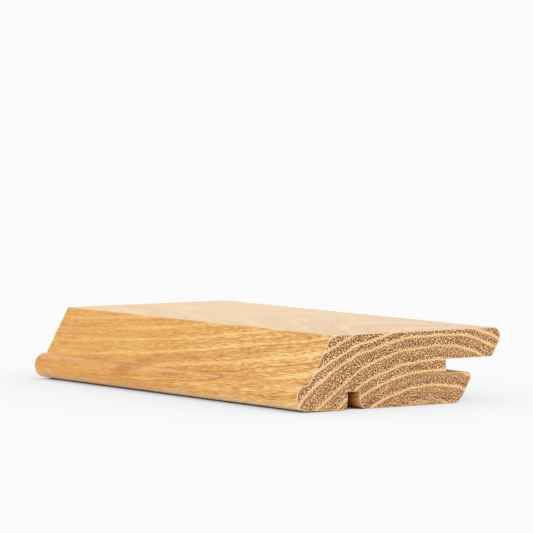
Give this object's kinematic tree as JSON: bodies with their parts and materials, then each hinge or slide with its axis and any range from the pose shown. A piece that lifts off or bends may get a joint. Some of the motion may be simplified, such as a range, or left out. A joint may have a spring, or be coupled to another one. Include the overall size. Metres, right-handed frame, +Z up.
{
  "type": "threshold strip",
  "caption": "Solid hardwood threshold strip: flat top, sloped front with a half-round nose, drip groove underneath and a tongue groove under a long upper lip at the back.",
  "frame": {"origin": "middle of the strip's length and width, on the plane of the underside", "axes": "+X along the strip towards the sawn end that the picture shows, +Y from the nose towards the grooved back, +Z up through the thickness"},
  "size_m": [0.132, 0.0774, 0.022],
  "materials": {
    "timber": "oiled satin, end grain left sawn"
  },
  "bodies": {
    "root": {"timber_strip": "timber"}
  },
  "joints": []
}
